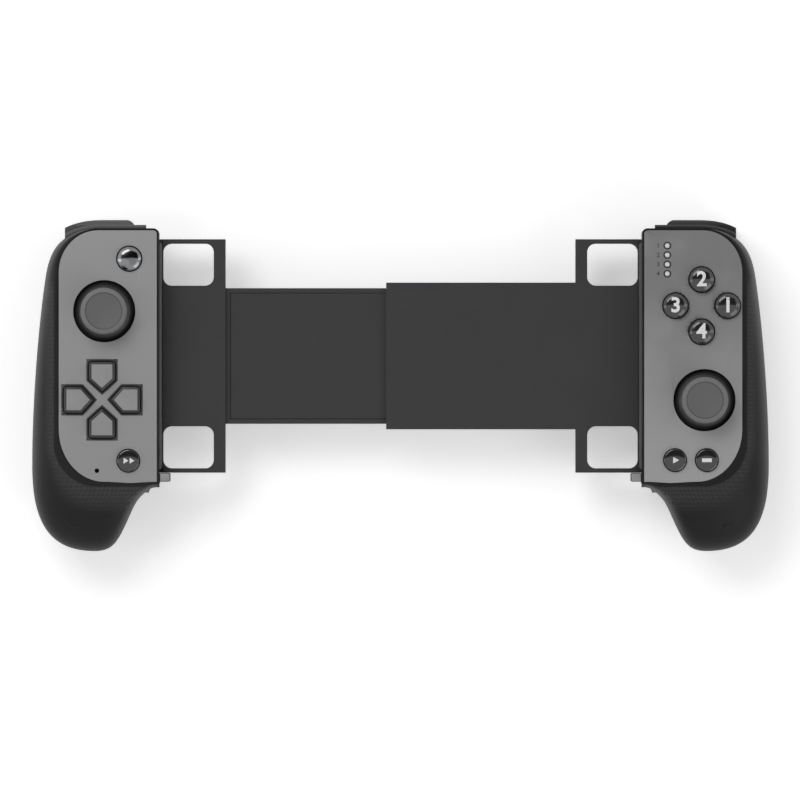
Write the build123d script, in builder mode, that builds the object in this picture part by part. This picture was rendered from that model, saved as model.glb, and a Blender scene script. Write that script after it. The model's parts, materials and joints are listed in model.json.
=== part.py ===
from build123d import *
import math
import os

os.makedirs("parts", exist_ok=True)

# All lengths in millimetres. X runs across the controller, Y from the grips to the shoulders,
# Z up from the surface that the controller lies on, face up. The left handle is at -X.

# Whole controller
girth_x = 110.5
tip_y = -49.7
trigger_y = 49.7
shoulder_y = 47.0
face_z = 30.0
part_z = 17.0
back_z = 6.5
wall = 2.0
cut = 1.0

# Clearances
key_fit = 0.3
seat_gap = 0.3
pin_fit = 0.08
slip = 0.25

# Handle outlines: the rim round the face and the line of the inner wall
wall_x = 72.3
rim_x = 102.8
rim_base_y = -29.4
rim_lip = 0.45
corner_r = 1.6
back_round = 3.0

# Control points of a handle's outline, from the shoulder round the grip to the heel.
# Each row has the place on the face rim, the place on the girth and the way inwards.
# Across they are shares of the rim's or the girth's width, along they are shares of
# the rim's height, or of the drop to the grip's tip where negative.
outline_shares = (
    (0.590, 1.000, 0.437, 1.000, 0.0, -1.0),
    (0.823, 1.000, 0.764, 1.000, -0.5, -1.0),
    (1.000, 0.921, 0.866, 0.928, -1.0, -0.6),
    (1.000, 0.826, 0.898, 0.797, -1.0, 0.0),
    (1.000, 0.620, 0.955, 0.605, -1.0, 0.0),
    (1.000, 0.420, 1.000, 0.306, -1.0, 0.0),
    (1.000, 0.215, 1.000, 0.071, -1.0, 0.0),
    (1.000, 0.096, 1.000, -0.620, -1.0, 0.4),
    (0.790, 0.000, 0.852, -1.000, -0.5, 1.0),
    (0.534, 0.000, 0.506, -1.000, 0.0, 1.0),
    (0.449, 0.000, 0.348, -1.000, 0.6, 1.0),
    (0.351, 0.000, 0.317, -0.820, 1.0, 0.5),
    (0.252, 0.000, 0.215, -0.394, 0.9, 0.4),
    (0.170, 0.000, 0.175, -0.231, 0.8, 0.6),
    (0.088, 0.000, 0.118, -0.079, 0.3, 1.0),
    (0.000, 0.000, 0.000, -0.034, 1.0, 1.0),
)
front_level_shares = (0.0, 0.38, 0.68, 0.88, 0.965, 1.0)
back_level_shares = (0.0, 0.42, 0.76, 0.94, 1.0)
cavity_shares = (0.0, 0.5, 0.8, 1.0)

# Face panels
panel_t = 1.6
deck_t = 1.5
panel_gap = 0.15
dish_r = 10.8
dpad_dish_r = 13.2
dish_depth = 0.45

# Swells on the handles' backs: grip and trigger pod
swell_z = 13.0
grip_swell_x = 93.5
grip_swell_y = -26.0
grip_swell_rx = 13.0
grip_swell_ry = 20.0
pod_x = 91.0
pod_y = 22.5
pod_rx = 13.5
pod_ry = 15.5
swell_shares = ((1.0, 1.0), (0.88, 0.45), (0.66, 0.13), (0.44, 0.0))

# Thumbsticks: hole, ball skirt, cap and the module below
left_stick_x = -88.6
left_stick_y = 22.2
right_stick_x = 90.9
right_stick_y = -4.4
stick_hole_r = 9.3
stick_z = 20.5
skirt_r = 11.9
skirt_t = 1.0
skirt_edge_deg = 68
cap_r = 6.95
cap_top_z = 38.4
cap_t = 3.4
cap_dish_r = 5.5
cap_dish_depth = 0.8
cap_dish_shares = (0.6, 0.7)
socket_play = 1.0
neck_r = 3.4
post_r = 1.6
post_top_z = 33.2
gimbal_w = 9.6
gimbal_t = 1.3
gimbal_h = 2.2
gimbal_pin_r = 0.7
module_w = 13.0
module_wall = 0.8
module_top_z = 23.8
pot_w = 8.0
pot_t = 2.6
pot_top_z = 19.0

# Direction keys
dpad_x = -89.25
dpad_y = -4.3
dpad_reach = 11.7
dpad_width = 8.4
dpad_straight = 5.8
dpad_tip = 2.1
dpad_corner_r = 1.2
dpad_rise = 1.5
dpad_bevel = 0.9
dpad_bevel_share = 0.6

# Round keys
face_keys_x = 90.06
face_keys_y = 23.85
face_keys_r = 7.8
face_key_hole_r = 4.05
face_key_rise = 1.3
face_key_crown = 0.9
crown_share = 0.75
home_x = -81.1
home_y = 37.9
home_hole_r = 3.95
turbo_x = -81.4
turbo_y = -22.5
small_hole_r = 3.6
small_rise = 0.9
start_x = 82.1
menu_y = -22.35
select_x = 91.6
reset_x = -90.8
reset_y = -25.5
reset_hole_r = 0.68
reset_drop = 3.0
lamp_x = 79.8
lamp_top_y = 41.8
lamp_pitch = 2.8
lamp_count = 4
lamp_r = 0.75
flange_t = 1.0
flange_lap = 0.7
stem_r = 1.8

# Circuit boards and the rubber mats on them
board_z = 12.9
board_t = 1.6
board_in_x = 77.5
board_out_x = 101.0
board_low_y = -27.5
board_high_y = 41.3
board_notch_x = 84.8
board_notch_y = 34.8
board_corner_r = 4.0
mat_t = 0.8
mat_rim = 0.4
dome_r = 2.6
dome_top_r = 2.0
dome_h = 2.9
dome_gap = 0.1

# Shoulder bumpers
bumper_x = 76.2
bumper_end_x = 100.4
bumper_z = 18.9
bumper_h = 5.7
bumper_proud = 1.1
bumper_bar_t = 4.2
bumper_rail_t = 1.5
bumper_rail_x = 78.0
bumper_rail_end_x = 92.0
bumper_edge = 0.6
bumper_swell_share = 0.88

# Triggers, their pins and springs
trigger_x = 79.7
trigger_end_x = 100.7
trigger_base_z = 1.9
trigger_waist_y = 46.5
trigger_lip_y = 47.9
trigger_back_y = 43.0
trigger_inner_y = 41.3
trigger_skin_t = 1.8
trigger_round = 2.6
waist_share = 0.28
trigger_curve_shares = (0.45, 0.4, 0.5, 0.3)
arm_h_share = 0.9
slot_y = 39.6
hinge_y = 37.6
hinge_z = 12.0
knuckle_r = 2.1
trigger_pin_r = 0.9
arm_in = 7.5
arm_out = 3.5
arm_t = 1.6
boss_t = 1.8
trigger_spring_r = 1.8
trigger_spring_wire = 0.5

# Bridge between the handles
bridge_y = 8.85
bridge_h = 70.0
bridge_z = 10.5
bridge_t = 9.0
bridge_reach = 20.6
rib_x = 74.6
rib_t = 1.5
rib_lap = 0.8
end_step = 0.3
window_x = 71.2
window_w = 15.2
window_h = 12.6
window_r = 2.6
window_rim = 1.3
sleeve_x = -4.3
sleeve_h = 44.0
sleeve_wall = 1.4
tongue_x = 25.3
tongue_t = 5.8
tongue_lid_t = 0.9
tongue_round = 1.2
channel_y = 14.0
channel_w = 4.8
cable_w = 8.0
cable_t = 0.6
cable_end_x = 79.0
spring_coil_r = 1.6
spring_bore_r = 1.05
peg_r = 0.8
peg_l = 4.6
spring_near_x = -48.5
spring_far_x = 69.5

# Cradle pads
pad_t = 0.8
pad_z = 20.0
pad_top_z = 29.2
pad_low_y = -25.0
pad_high_y = 42.7
stop_x = 68.9
stop_y = -28.8
stop_h = 2.6
stop_z = 20.4
stop_edge = 0.5

# Battery, charging socket and screws
battery_w = 18.0
battery_l = 42.0
battery_t = 3.9
battery_x = -88.5
battery_y = -2.0
socket_x = 78.35
socket_w = 8.9
socket_t = 3.2
socket_r = 1.5
socket_shell_t = 0.35
socket_y = -32.1
socket_turn = 228.3
socket_l = 7.2
socket_depth_share = 0.8
socket_tongue_shares = (0.7, 0.22, 0.1)
screw_places = ((102.0, 8.0), (103.2, -13.0), (87.6, -37.6), (97.6, -39.6))
screw_r = 1.0
screw_head_r = 1.8
screw_head_t = 1.3
screw_top_z = 23.0
boss_r = 2.4
sleeve_screw_r = 0.9
sleeve_screw_l = 6.5
sleeve_screw_in = 3.4

# Worked out from the sizes above
panel_z = face_z - panel_t
deck_z = panel_z - deck_t
floor_z = back_z + wall
board_top = board_z + board_t
mat_z = board_top + mat_t
stem_z = mat_z + dome_h + dome_gap
flange_z = deck_z - seat_gap - flange_t
bridge_top = bridge_z + bridge_t
bridge_mid = bridge_z + bridge_t / 2
arm_x = trigger_x + arm_in
arm_end_x = trigger_end_x - arm_out
key_turns = {"up": 0, "left": 90, "down": 180, "right": 270}
stick_places = {"left": (left_stick_x, left_stick_y), "right": (right_stick_x, right_stick_y)}
sides = {"left": -1, "right": 1}
socket_way = (math.cos(math.radians(socket_turn)), math.sin(math.radians(socket_turn)), 0)
socket_mouth = Plane(
    origin=(socket_x, socket_y, board_z - socket_t / 2 - slip / 2),
    x_dir=(-socket_way[1], socket_way[0], 0),
    z_dir=socket_way,
)


def mix(low, high, share):
    return low + (high - low) * share


def outline_points(side, swell, inset):
    """Control points of a handle's outline, between the face rim and the girth."""
    points = []
    for rim_u, rim_w, girth_u, girth_w, lean_x, lean_y in outline_shares:
        spots = []
        for reach, u, w in ((rim_x, rim_u, rim_w), (girth_x, girth_u, girth_w)):
            height = shoulder_y - rim_base_y if w > 0 else rim_base_y - tip_y
            spots.append((wall_x + (reach - wall_x) * u, rim_base_y + height * w))
        x = mix(spots[0][0], spots[1][0], swell) + lean_x * inset
        y = mix(spots[0][1], spots[1][1], swell) + lean_y * inset
        points.append((side * x, y))
    return points


def handle_section(side, z, swell, inset=0, corner=corner_r):
    """One level of a handle: a straight inner wall, a shoulder and the curve round the grip."""
    points = outline_points(side, swell, inset)
    inner_x = side * (wall_x + inset)
    top_y = shoulder_y - inset
    with BuildSketch(Plane.XY.offset(z)) as section:
        with BuildLine():
            Line(points[-1], (inner_x, top_y - corner))
            RadiusArc((inner_x, top_y - corner), (inner_x + side * corner, top_y), side * corner)
            Line((inner_x + side * corner, top_y), points[0])
            for start in range(0, len(points) - 1, 3):
                Bezier(*points[start:start + 4])
        make_face()
    return section.sketch


def handle_levels(side, base_z, top_z, shares, inset=0, end_round=0, corner=corner_r):
    """Sections of a handle from the parting line to its face or its back."""
    sections = []
    for share in shares:
        swell = math.sqrt(1 - share * share)
        turned_in = inset + end_round * (1 - swell) ** 2
        z = mix(base_z, top_z, share)
        sections.append(handle_section(side, z, swell, turned_in, corner))
    return sections


def cavity_levels(side, end_z, far_z, shares):
    """Sections of the hollow inside a handle's shell, a wall in from its outside."""
    start_z = part_z - math.copysign(cut, end_z - part_z)
    sections = []
    for share in shares:
        z = mix(start_z, end_z, share)
        swell = math.sqrt(1 - ((z - part_z) / (far_z - part_z)) ** 2)
        sections.append(handle_section(side, z, swell, wall, corner_r / 2))
    return sections


def swell_levels(side, x, y, rx, ry, inset=0, floor=0):
    """Oval sections of a swell on a handle's back, down to its resting face."""
    sections = []
    for size_share, height_share in swell_shares:
        z = mix(floor, swell_z, height_share)
        with BuildSketch(Plane.XY.offset(z)) as section:
            with Locations((side * x, y)):
                Ellipse(rx * size_share - inset, ry * size_share - inset)
        sections.append(section.sketch)
    return sections


def key_outline(grow=0):
    """A direction key's outline, pointing along +Y from the middle of the cross."""
    half = dpad_width / 2
    with BuildSketch() as outline:
        with BuildLine():
            Polyline(
                (0, dpad_tip),
                (half, dpad_reach - dpad_straight),
                (half, dpad_reach),
                (-half, dpad_reach),
                (-half, dpad_reach - dpad_straight),
                close=True,
            )
        make_face()
        fillet(outline.vertices().group_by(Axis.Y)[-1], dpad_corner_r)
        if grow:
            offset(amount=grow, kind=Kind.INTERSECTION)
    return outline.sketch


def round_holes(side):
    """Places and radii of the round keys' holes on one handle."""
    if side < 0:
        return [(home_x, home_y, home_hole_r), (turbo_x, turbo_y, small_hole_r)]
    holes = [(start_x, menu_y, small_hole_r), (select_x, menu_y, small_hole_r)]
    for turn in range(0, 360, 90):
        x = face_keys_x + face_keys_r * math.cos(math.radians(turn))
        y = face_keys_y + face_keys_r * math.sin(math.radians(turn))
        holes.append((x, y, face_key_hole_r))
    return holes


def face_openings(hand, stick_r, grow):
    """Every opening of one handle's face as a flat outline, for the panel and its deck."""
    side = sides[hand]
    with BuildSketch() as openings:
        with Locations(stick_places[hand]):
            Circle(stick_r)
        for x, y, radius in round_holes(side):
            with Locations((x, y)):
                Circle(radius + grow)
        if side < 0:
            for turn in key_turns.values():
                with Locations((dpad_x, dpad_y)):
                    add(key_outline(grow), rotation=turn)
            with Locations((reset_x, reset_y)):
                Circle(reset_hole_r + grow)
        else:
            for place in range(lamp_count):
                with Locations((lamp_x, lamp_top_y - place * lamp_pitch)):
                    Circle(lamp_r + slip / 2 + grow)
    return openings.sketch


for hand, side in sides.items():
    stick_x, stick_y = stick_places[hand]
    deck_hole_r = math.sqrt(skirt_r ** 2 - (deck_z - stick_z) ** 2) + 2 * seat_gap
    bosses = [(side * x, y) for x, y in screw_places]

    # Front shell: outer moulding and the deck under the panel
    with BuildPart() as front_shell:
        loft(handle_levels(side, part_z, face_z, front_level_shares))
        loft(cavity_levels(side, deck_z, face_z, cavity_shares), mode=Mode.SUBTRACT)
        with BuildSketch(Plane.XY.offset(panel_z)):
            add(handle_section(side, 0, 0, rim_lip, corner_r - rim_lip))
        extrude(amount=panel_t + cut, mode=Mode.SUBTRACT)
        with BuildSketch(Plane.XY.offset(deck_z - cut)):
            add(face_openings(hand, deck_hole_r, slip))
        extrude(amount=deck_t + 2 * cut, mode=Mode.SUBTRACT)
        with BuildSketch(Plane.XY.offset(part_z)):
            with Locations(*bosses):
                Circle(boss_r)
        extrude(amount=deck_z - part_z)
        with BuildSketch(Plane.XY.offset(part_z)):
            with Locations(*bosses):
                Circle(screw_r)
        extrude(amount=screw_top_z - part_z + seat_gap, mode=Mode.SUBTRACT)
        # notch for the bridge
        with BuildSketch(Plane.XY.offset(part_z - cut)):
            with Locations((side * wall_x, bridge_y)):
                Rectangle(3 * wall, bridge_h + 2 * slip)
        extrude(amount=bridge_top + slip - part_z + cut, mode=Mode.SUBTRACT)
        # slot for the bumper
        with BuildSketch(Plane.XY.offset(bumper_z - slip)):
            with Locations((side * (bumper_x + bumper_end_x) / 2, shoulder_y)):
                Rectangle(bumper_end_x - bumper_x + 2 * slip, 8 * wall)
        extrude(amount=bumper_h + 2 * slip, mode=Mode.SUBTRACT)
    front_shell.part.label = f"{hand}_front_shell"
    export_step(front_shell.part, f"parts/{hand}_front_shell.step")

    # Rear shell: bowl with the grip swell, the trigger pod, bosses and the trigger's slot
    with BuildPart() as rear_shell:
        loft(handle_levels(side, part_z, back_z, back_level_shares, end_round=back_round))
        loft(swell_levels(side, grip_swell_x, grip_swell_y, grip_swell_rx, grip_swell_ry))
        loft(swell_levels(side, pod_x, pod_y, pod_rx, pod_ry))
        loft(cavity_levels(side, floor_z, back_z, cavity_shares), mode=Mode.SUBTRACT)
        with BuildSketch(Plane.XY):
            with Locations((side * (trigger_x + trigger_end_x) / 2, (slot_y + trigger_y) / 2)):
                Rectangle(trigger_end_x - trigger_x + 2 * slip, trigger_y - slot_y)
        extrude(amount=part_z + cut, mode=Mode.SUBTRACT)
        with BuildSketch(Plane.XY.offset(back_z + wall / 2)):
            with Locations(*bosses):
                Circle(boss_r)
        extrude(amount=part_z - back_z - wall / 2)
        for boss_x in (arm_x - slip - boss_t, arm_end_x + slip):
            with BuildSketch(Plane.YZ.offset(side * (boss_x + boss_t / 2))):
                with Locations((hinge_y, (floor_z + hinge_z) / 2 - wall / 4)):
                    Rectangle(2 * knuckle_r - slip, hinge_z - floor_z + wall / 2)
                with Locations((hinge_y, hinge_z)):
                    Circle(knuckle_r - slip / 2)
            extrude(amount=boss_t / 2, both=True)
        with BuildSketch(Plane.YZ.offset(side * (arm_x - 2 * boss_t))):
            with Locations((hinge_y, hinge_z)):
                Circle(trigger_pin_r)
        extrude(amount=side * (arm_end_x - arm_x + 4 * boss_t), mode=Mode.SUBTRACT)
        with BuildSketch(Plane.XY):
            with Locations(*bosses):
                Circle(screw_head_r + slip)
        extrude(amount=back_z + screw_head_t + slip, mode=Mode.SUBTRACT)
        with BuildSketch(Plane.XY):
            with Locations(*bosses):
                Circle(screw_r + slip)
        extrude(amount=part_z + cut, mode=Mode.SUBTRACT)
        with BuildSketch(Plane.XY.offset(bridge_z - slip)):
            with Locations((side * wall_x, bridge_y)):
                Rectangle(3 * wall, bridge_h + 2 * slip)
        extrude(amount=part_z - bridge_z + cut, mode=Mode.SUBTRACT)
        if side > 0:
            with BuildSketch(socket_mouth):
                RectangleRounded(socket_w + 2 * slip, socket_t + 2 * slip, socket_r + slip)
            extrude(amount=2 * wall, both=True, mode=Mode.SUBTRACT)
    rear_shell.part.label = f"{hand}_rear_shell"
    export_step(rear_shell.part, f"parts/{hand}_rear_shell.step")

    # Face panel in its recess, dished round the keys
    with BuildPart() as face_panel:
        with BuildSketch(Plane.XY.offset(panel_z)):
            inner = corner_r - rim_lip - panel_gap
            add(handle_section(side, 0, 0, rim_lip + panel_gap, inner))
        extrude(amount=panel_t)
        dish_x, dish_y = (dpad_x, dpad_y) if side < 0 else (face_keys_x, face_keys_y)
        rim_of_dish = dpad_dish_r if side < 0 else dish_r
        ball_r = (rim_of_dish ** 2 + dish_depth ** 2) / (2 * dish_depth)
        with Locations((dish_x, dish_y, face_z - dish_depth + ball_r)):
            Sphere(ball_r, mode=Mode.SUBTRACT)
        with BuildSketch(Plane.XY.offset(panel_z - cut)):
            add(face_openings(hand, stick_hole_r, 0))
        extrude(amount=panel_t + 2 * cut, mode=Mode.SUBTRACT)
    face_panel.part.label = f"{hand}_face_panel"
    export_step(face_panel.part, f"parts/{hand}_face_panel.step")

    # Cradle pad on the inner wall, its edges rounded towards the phone bay
    with BuildPart() as cradle_pad:
        with BuildSketch(Plane.XZ.offset(-pad_high_y)):
            with Locations((side * (wall_x - pad_t / 2), (pad_z + pad_top_z) / 2)):
                Rectangle(pad_t, pad_top_z - pad_z)
        extrude(amount=pad_high_y - pad_low_y)
        bay_edges = cradle_pad.edges().group_by(Axis.X)[0 if side > 0 else -1]
        chamfer(bay_edges, pad_t / 2)
    cradle_pad.part.label = f"{hand}_cradle_pad"
    export_step(cradle_pad.part, f"parts/{hand}_cradle_pad.step")

    # Stop block at the lower corner of the phone bay
    with BuildPart() as cradle_stop:
        with BuildSketch(Plane.XY.offset(stop_z)):
            with Locations((side * (stop_x + wall_x - seat_gap) / 2, stop_y + stop_h / 2)):
                Rectangle(wall_x - seat_gap - stop_x, stop_h)
        extrude(amount=face_z - stop_z)
        bay_side = cradle_stop.edges().filter_by(Axis.Z).group_by(Axis.X)[0 if side > 0 else -1]
        fillet(bay_side, stop_edge)
        chamfer(cradle_stop.faces().sort_by(Axis.Z)[-1].edges(), stop_edge / 2)
    cradle_stop.part.label = f"{hand}_cradle_stop"
    export_step(cradle_stop.part, f"parts/{hand}_cradle_stop.step")

    # Circuit board, notched for the trigger's arms
    with BuildPart() as board:
        with BuildSketch(Plane.XY.offset(board_z)) as board_plan:
            with BuildLine():
                Polyline(
                    (side * board_in_x, board_low_y),
                    (side * board_out_x, board_low_y),
                    (side * board_out_x, board_notch_y),
                    (side * board_notch_x, board_notch_y),
                    (side * board_notch_x, board_high_y),
                    (side * board_in_x, board_high_y),
                    close=True,
                )
            make_face()
            outer = board_plan.vertices().group_by(Axis.X)[-1 if side > 0 else 0]
            fillet(outer, board_corner_r)
            with Locations(*bosses):
                Circle(boss_r + slip, mode=Mode.SUBTRACT)
        extrude(amount=board_t)
    board.part.label = f"{hand}_circuit_board"
    export_step(board.part, f"parts/{hand}_circuit_board.step")

    # Stick module: can, two potentiometers and the bearings of the tilting ring
    with BuildPart() as module:
        with BuildSketch(Plane.XY.offset(board_top)):
            with Locations((stick_x, stick_y)):
                Rectangle(module_w, module_w)
        extrude(amount=module_top_z - board_top)
        with BuildSketch(Plane.XY.offset(board_top + module_wall)):
            with Locations((stick_x, stick_y)):
                Rectangle(module_w - 2 * module_wall, module_w - 2 * module_wall)
        extrude(amount=module_top_z - board_top - 2 * module_wall, mode=Mode.SUBTRACT)
        with BuildSketch(Plane.XY.offset(module_top_z)):
            with Locations((stick_x, stick_y)):
                Circle(module_w / 3)
        extrude(amount=-2 * module_wall, mode=Mode.SUBTRACT)
        with BuildSketch(Plane.XY.offset(board_top)):
            with Locations((stick_x - side * (module_w + pot_t) / 2, stick_y)):
                Rectangle(pot_t, pot_w)
            with Locations((stick_x, stick_y - (module_w + pot_t) / 2)):
                Rectangle(pot_w, pot_t)
        extrude(amount=pot_top_z - board_top)
        with BuildSketch(Plane.YZ.offset(stick_x - module_w / 2)):
            with Locations((stick_y, stick_z)):
                Circle(gimbal_pin_r + pin_fit)
        extrude(amount=module_w, mode=Mode.SUBTRACT)
    module.part.label = f"{hand}_stick_module"
    export_step(module.part, f"parts/{hand}_stick_module.step")

    # Tilting ring, on stub pins along X
    with BuildPart() as ring:
        with BuildSketch(Plane.XY.offset(stick_z - gimbal_h / 2)):
            with Locations((stick_x, stick_y)):
                Rectangle(gimbal_w, gimbal_w)
                Rectangle(gimbal_w - 2 * gimbal_t, gimbal_w - 2 * gimbal_t, mode=Mode.SUBTRACT)
        extrude(amount=gimbal_h)
        for way in (-1, 1):
            with BuildSketch(Plane.YZ.offset(stick_x + way * (gimbal_w - gimbal_t) / 2)):
                with Locations((stick_y, stick_z)):
                    Circle(gimbal_pin_r)
            extrude(amount=way * (module_w - gimbal_w + gimbal_t) / 2)
        with BuildSketch(Plane.XZ.offset(-stick_y - gimbal_w / 2)):
            with Locations((stick_x, stick_z)):
                Circle(gimbal_pin_r + pin_fit)
        extrude(amount=gimbal_w, mode=Mode.SUBTRACT)
    ring.part.label = f"{hand}_stick_gimbal"
    export_step(ring.part, f"parts/{hand}_stick_gimbal.step")

    # Stick post, on a cross pin along Y
    with BuildPart() as post:
        with BuildSketch(Plane.XY.offset(stick_z - gimbal_h / 2)):
            with Locations((stick_x, stick_y)):
                Circle(post_r)
        extrude(amount=post_top_z - stick_z + gimbal_h / 2)
        with BuildSketch(Plane.XZ.offset(-stick_y)):
            with Locations((stick_x, stick_z)):
                Circle(gimbal_pin_r)
        extrude(amount=gimbal_w / 2, both=True)
    post.part.label = f"{hand}_stick_post"
    export_step(post.part, f"parts/{hand}_stick_post.step")

    # Thumbstick: dished cap, neck, ball skirt and the socket on the post
    edge = math.radians(skirt_edge_deg)
    skirt_in = skirt_r - skirt_t
    cap_z = cap_top_z - cap_t
    with BuildPart() as thumbstick:
        with BuildSketch(Plane.XZ) as half:
            with BuildLine():
                neck_low = (neck_r, math.sqrt(skirt_r ** 2 - neck_r ** 2))
                skirt_low = (skirt_r * math.sin(edge), skirt_r * math.cos(edge))
                inner_low = (skirt_in * math.sin(edge), skirt_in * math.cos(edge))
                inner_top = (post_r + skirt_t, skirt_in - skirt_t / 2)
                under = cap_z - stick_z
                top = cap_top_z - stick_z
                RadiusArc(neck_low, skirt_low, skirt_r)
                Line(skirt_low, inner_low)
                inner_mid = (skirt_in * math.sin(edge / 2), skirt_in * math.cos(edge / 2))
                Polyline(inner_low, inner_mid, inner_top, (post_r + skirt_t, under / 4))
                Polyline((post_r + skirt_t, under / 4), (post_r + pin_fit, under / 4))
                socket_top = post_top_z - stick_z + socket_play
                Polyline(
                    (post_r + pin_fit, under / 4),
                    (post_r + pin_fit, socket_top),
                    (0, socket_top),
                    (0, top - cap_dish_depth),
                )
                dish_u, dish_w = cap_dish_shares
                ThreePointArc(
                    (0, top - cap_dish_depth),
                    (cap_dish_r * dish_u, top - cap_dish_depth * dish_w),
                    (cap_dish_r, top),
                )
                Polyline(
                    (cap_dish_r, top),
                    (cap_r - cap_t / 8, top - cap_t / 8),
                    (cap_r, top - cap_t / 3),
                    (cap_r, under + cap_t / 4),
                    (cap_r - cap_t / 4, under),
                    (neck_r, under),
                    neck_low,
                )
            make_face()
        profile = half.sketch.moved(Location((stick_x, stick_y, stick_z)))
        revolve(profile, Axis((stick_x, stick_y, 0), (0, 0, 1)))
    thumbstick.part.label = f"{hand}_thumbstick"
    export_step(thumbstick.part, f"parts/{hand}_thumbstick.step")

    # Bumper: a bar round the shoulder's corner with a rail behind the wall
    with BuildPart() as bumper:
        bar_mid_x = side * (bumper_x + bumper_end_x) / 2
        for z, draw_in in (
            (bumper_z, bumper_edge),
            (bumper_z + bumper_edge, 0),
            (bumper_z + bumper_h - bumper_edge, 0),
            (bumper_z + bumper_h, bumper_edge),
        ):
            with BuildSketch(Plane.XY.offset(z)):
                add(handle_section(side, 0, bumper_swell_share, draw_in - bumper_proud))
                with Locations((bar_mid_x, shoulder_y)):
                    Rectangle(bumper_end_x - bumper_x, 4 * bumper_bar_t, mode=Mode.INTERSECT)
                add(
                    handle_section(side, 0, bumper_swell_share, bumper_bar_t - bumper_proud),
                    mode=Mode.SUBTRACT,
                )
        loft(ruled=True)
        rail_mid_y = shoulder_y - wall - seat_gap - bumper_rail_t / 2
        with BuildSketch(Plane.XY.offset(bumper_z - 3 * slip)):
            with Locations((side * (bumper_rail_x + bumper_rail_end_x) / 2, rail_mid_y)):
                Rectangle(bumper_rail_end_x - bumper_rail_x, bumper_rail_t)
        extrude(amount=bumper_h)
    bumper.part.label = f"{hand}_bumper"
    export_step(bumper.part, f"parts/{hand}_bumper.step")

    # Trigger: hooked finger face over two arms, on a steel pin
    top_z = part_z - seat_gap
    waist_z = mix(trigger_base_z, top_z, waist_share)
    upper_u, upper_w, lower_u, lower_w = trigger_curve_shares
    with BuildPart() as trigger:
        with BuildSketch(Plane.YZ.offset(side * trigger_x)):
            with BuildLine():
                RadiusArc((trigger_y - wall, top_z), (trigger_y, top_z - wall), wall)
                Bezier(
                    (trigger_y, top_z - wall),
                    (trigger_y, mix(waist_z, top_z, upper_u)),
                    (trigger_waist_y, mix(waist_z, top_z, upper_w)),
                    (trigger_waist_y, waist_z),
                )
                Bezier(
                    (trigger_waist_y, waist_z),
                    (trigger_waist_y, mix(trigger_base_z, waist_z, lower_u)),
                    (trigger_lip_y, mix(trigger_base_z, waist_z, lower_w)),
                    (trigger_lip_y, trigger_base_z),
                )
                Polyline(
                    (trigger_lip_y, trigger_base_z),
                    (trigger_back_y, trigger_base_z),
                    (trigger_inner_y, back_z),
                    (trigger_inner_y, hinge_z + knuckle_r),
                    (trigger_back_y, top_z),
                    (trigger_y - wall, top_z),
                )
            make_face()
        extrude(amount=side * (trigger_end_x - trigger_x))
        with BuildSketch(Plane.XY) as plan:
            add(handle_section(side, 0, 1, shoulder_y - trigger_y))
            with Locations((side * (trigger_x + trigger_end_x) / 2, shoulder_y)):
                Rectangle(trigger_end_x - trigger_x, shoulder_y / 2, mode=Mode.INTERSECT)
            front_corners = plan.vertices().group_by(Axis.Y)[-1].sort_by(Axis.X)
            fillet(front_corners[0 if side > 0 else -1], trigger_round)
        extrude(amount=face_z, mode=Mode.INTERSECT)
        with BuildSketch(Plane.YZ.offset(side * (trigger_x + arm_t))):
            with BuildLine():
                Polyline(
                    (trigger_inner_y - cut, back_z),
                    (trigger_waist_y - trigger_skin_t, back_z),
                    (trigger_waist_y - trigger_skin_t, hinge_z - knuckle_r),
                    (trigger_y - trigger_skin_t - wall / 2, hinge_z + knuckle_r / 2),
                    (trigger_back_y, top_z - trigger_skin_t),
                    (trigger_inner_y - cut, hinge_z + knuckle_r / 2),
                    close=True,
                )
            make_face()
        extrude(amount=side * (trigger_end_x - trigger_x - 4 * arm_t), mode=Mode.SUBTRACT)
        for start in (arm_x, arm_end_x - arm_t):
            with BuildSketch(Plane.YZ.offset(side * start)):
                with Locations((hinge_y, hinge_z)):
                    Circle(knuckle_r)
                with Locations(((hinge_y + trigger_waist_y) / 2, hinge_z)):
                    Rectangle(trigger_waist_y - hinge_y, 2 * knuckle_r * arm_h_share)
            extrude(amount=side * arm_t)
        with BuildSketch(Plane.YZ.offset(side * trigger_x)):
            with Locations((hinge_y, hinge_z)):
                Circle(trigger_pin_r + pin_fit)
        extrude(amount=side * (trigger_end_x - trigger_x), mode=Mode.SUBTRACT)
    trigger.part.label = f"{hand}_trigger"
    export_step(trigger.part, f"parts/{hand}_trigger.step")

    with BuildPart() as trigger_pin:
        with BuildSketch(Plane.YZ.offset(side * (arm_x - slip - boss_t))):
            with Locations((hinge_y, hinge_z)):
                Circle(trigger_pin_r)
        extrude(amount=side * (arm_end_x - arm_x + 2 * slip + 2 * boss_t))
    trigger_pin.part.label = f"{hand}_trigger_pin"
    export_step(trigger_pin.part, f"parts/{hand}_trigger_pin.step")

    # Torsion spring on the pin between the trigger's arms
    with BuildPart() as trigger_spring:
        with BuildSketch(Plane.YZ.offset(side * (arm_x + 2 * arm_t))):
            with Locations((hinge_y, hinge_z)):
                Circle(trigger_spring_r)
                Circle(trigger_spring_r - trigger_spring_wire, mode=Mode.SUBTRACT)
        extrude(amount=side * (arm_end_x - arm_x - 4 * arm_t))
    trigger_spring.part.label = f"{hand}_trigger_spring"
    export_step(trigger_spring.part, f"parts/{hand}_trigger_spring.step")

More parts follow.
